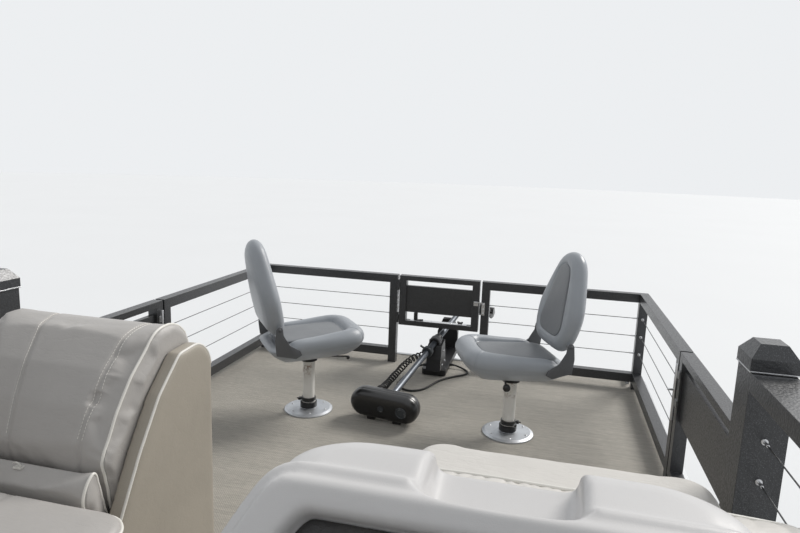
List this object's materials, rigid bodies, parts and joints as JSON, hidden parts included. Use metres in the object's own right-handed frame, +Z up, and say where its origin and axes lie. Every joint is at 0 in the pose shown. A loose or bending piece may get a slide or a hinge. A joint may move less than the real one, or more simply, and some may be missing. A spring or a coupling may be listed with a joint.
{
  "type": "pontoon boat",
  "caption": "Pontoon boat with a railed deck, swinging gates, lounge seating, helm console, swivel chairs, bow trolling motor and tilting outboard motor.",
  "frame": {"origin": "middle of the boat's length and beam, at the foot of the keels", "axes": "+X towards the bow, +Y to port, +Z up"},
  "size_m": [7.421, 2.59, 1.77],
  "materials": {
    "tube_aluminium": "brushed, a little scuffed",
    "frame_aluminium": "mill finish",
    "deck_vinyl": "woven, matt, lines running fore and aft",
    "trim_aluminium": "satin, worn",
    "rail_coat": "hammered dark coat, worn to bare metal at the edges",
    "seat_post": "satin, a little rust at the collars",
    "shell_plastic": "smooth, satin",
    "grey_vinyl": "soft vinyl with fine creases",
    "pale_vinyl": "soft vinyl with fine creases",
    "base_plastic": "moulded, lightly pebbled",
    "console_plastic": "moulded, satin",
    "cowl_plastic": "moulded, satin",
    "dash_plastic": "satin",
    "wheel_rubber": "soft grip",
    "black_plastic": "satin, scuffed",
    "silver_shaft": "brushed",
    "black_coat": "satin",
    "cord_rubber": "matt",
    "motor_coat": "gloss",
    "engine_metal": "machined and cast",
    "ladder_metal": "polished tube",
    "cleat_metal": "polished"
  },
  "bodies": {
    "boat": {"tube_port": "tube_aluminium", "tube_starboard": "tube_aluminium", "cross_members": "frame_aluminium", "motor_pod": "frame_aluminium", "deck": "deck_vinyl", "edge_trim": "trim_aluminium", "fence_bow_port": "rail_coat", "fence_bow_starboard": "rail_coat", "fence_fore_port": "rail_coat", "fence_fore_starboard": "rail_coat", "fence_aft_port": "rail_coat", "fence_aft_starboard": "rail_coat", "fence_stern": "rail_coat", "corner_posts": "rail_coat", "pedestal_port": "seat_post", "pedestal_starboard": "seat_post", "helm_pedestal": "seat_post", "lounge_back": "grey_vinyl", "lounge_bolster": "grey_vinyl", "lounge_seat": "grey_vinyl", "lounge_side": "grey_vinyl", "lounge_panel": "grey_vinyl", "bench_seat": "pale_vinyl", "bench_back": "pale_vinyl", "stern_bench_seat": "pale_vinyl", "stern_bench_back": "pale_vinyl", "lounge_base": "base_plastic", "bench_base": "base_plastic", "stern_bench_base": "base_plastic", "console_cabinet": "console_plastic", "console_cowl": "cowl_plastic", "console_dash": "dash_plastic", "trolling_head": "black_plastic", "trolling_shaft": "silver_shaft", "trolling_pod": "black_coat", "trolling_mount": "black_coat", "trolling_coil_cord": "cord_rubber", "trolling_power_cord": "cord_rubber", "outboard_clamp": "motor_coat", "ladder_bracket": "ladder_metal", "cleats": "cleat_metal"},
    "gate_bow": {"gate_bow": "rail_coat"},
    "gate_port": {"gate_port": "rail_coat"},
    "gate_starboard": {"gate_starboard": "rail_coat"},
    "gate_stern": {"gate_stern": "rail_coat"},
    "seat_port": {"seat_port": "shell_plastic"},
    "seat_back_port": {"seat_back_port": "shell_plastic"},
    "seat_starboard": {"seat_starboard": "shell_plastic"},
    "seat_back_starboard": {"seat_back_starboard": "shell_plastic"},
    "helm_chair": {"helm_seat": "grey_vinyl", "helm_back": "grey_vinyl"},
    "steering_wheel": {"steering_wheel": "wheel_rubber"},
    "trolling_propeller": {"trolling_propeller": "black_plastic"},
    "outboard_bracket": {"outboard_swivel": "motor_coat"},
    "outboard_motor": {"outboard_leg": "motor_coat", "outboard_cowl": "motor_coat", "outboard_engine": "engine_metal"},
    "outboard_propeller": {"outboard_propeller": "motor_coat"},
    "ladder": {"ladder": "ladder_metal"}
  },
  "joints": [
    {"name": "gate_bow_swing", "type": "hinge", "parent": "boat", "child": "gate_bow", "pos_m": [3.0505, 0.271, 1.2], "axis": [0, 0, -1], "range_deg": [0, 90]},
    {"name": "gate_port_swing", "type": "hinge", "parent": "boat", "child": "gate_port", "pos_m": [1.0435, 1.19, 1.1], "axis": [0, 0, -1], "range_deg": [0, 90]},
    {"name": "gate_starboard_swing", "type": "hinge", "parent": "boat", "child": "gate_starboard", "pos_m": [1.0435, -1.19, 1.1], "axis": [0, 0, 1], "range_deg": [0, 90]},
    {"name": "gate_stern_swing", "type": "hinge", "parent": "boat", "child": "gate_stern", "pos_m": [-2.2653, 1.1314, 1.2], "axis": [0, 0, 1], "range_deg": [0, 90]},
    {"name": "seat_port_swivel", "type": "hinge", "parent": "boat", "child": "seat_port", "pos_m": [2.1715, 0.522, 1.08], "axis": [0, 0, 1], "continuous": true},
    {"name": "seat_back_port_fold", "type": "hinge", "parent": "seat_port", "child": "seat_back_port", "pos_m": [2.04837, 0.6796, 1.28], "axis": [0.788, 0.6157, 0], "range_deg": [0, 85]},
    {"name": "seat_starboard_swivel", "type": "hinge", "parent": "boat", "child": "seat_starboard", "pos_m": [2.2115, -0.514, 1.08], "axis": [0, 0, 1], "continuous": true},
    {"name": "seat_back_starboard_fold", "type": "hinge", "parent": "seat_starboard", "child": "seat_back_starboard", "pos_m": [2.28642, -0.69944, 1.28], "axis": [-0.9272, -0.3746, 0], "range_deg": [0, 85]},
    {"name": "helm_chair_swivel", "type": "hinge", "parent": "boat", "child": "helm_chair", "pos_m": [-0.9795, -0.6, 1.11], "axis": [0, 0, 1], "continuous": true},
    {"name": "outboard_tilt", "type": "hinge", "parent": "boat", "child": "outboard_bracket", "pos_m": [-3.0975, 0, 0.856], "axis": [0, 1, 0], "range_deg": [0, 60]},
    {"name": "outboard_steer", "type": "hinge", "parent": "outboard_bracket", "child": "outboard_motor", "pos_m": [-3.2745, 0, 0.81], "axis": [0, 0, 1], "range_deg": [-30, 30]},
    {"name": "wheel_turn", "type": "hinge", "parent": "boat", "child": "steering_wheel", "pos_m": [-0.2995, -0.6, 1.55], "axis": [0.788, 0, -0.6157], "range_deg": [-540, 540]},
    {"name": "outboard_propeller_spin", "type": "hinge", "parent": "outboard_motor", "child": "outboard_propeller", "pos_m": [-3.6665, 0, 0.15], "axis": [1, 0, 0], "continuous": true},
    {"name": "trolling_propeller_spin", "type": "hinge", "parent": "boat", "child": "trolling_propeller", "pos_m": [3.52439, -0.28621, 1.07211], "axis": [0.1332, 0.9909, 0.0199], "continuous": true},
    {"name": "ladder_fold", "type": "hinge", "parent": "boat", "child": "ladder", "pos_m": [-3.3755, 0.83, 0.81], "axis": [0, -1, 0], "range_deg": [0, 260]}
  ],
  "couplings": [
    {"joint": "wheel_turn", "follows": "outboard_steer", "ratio": 18}
  ]
}
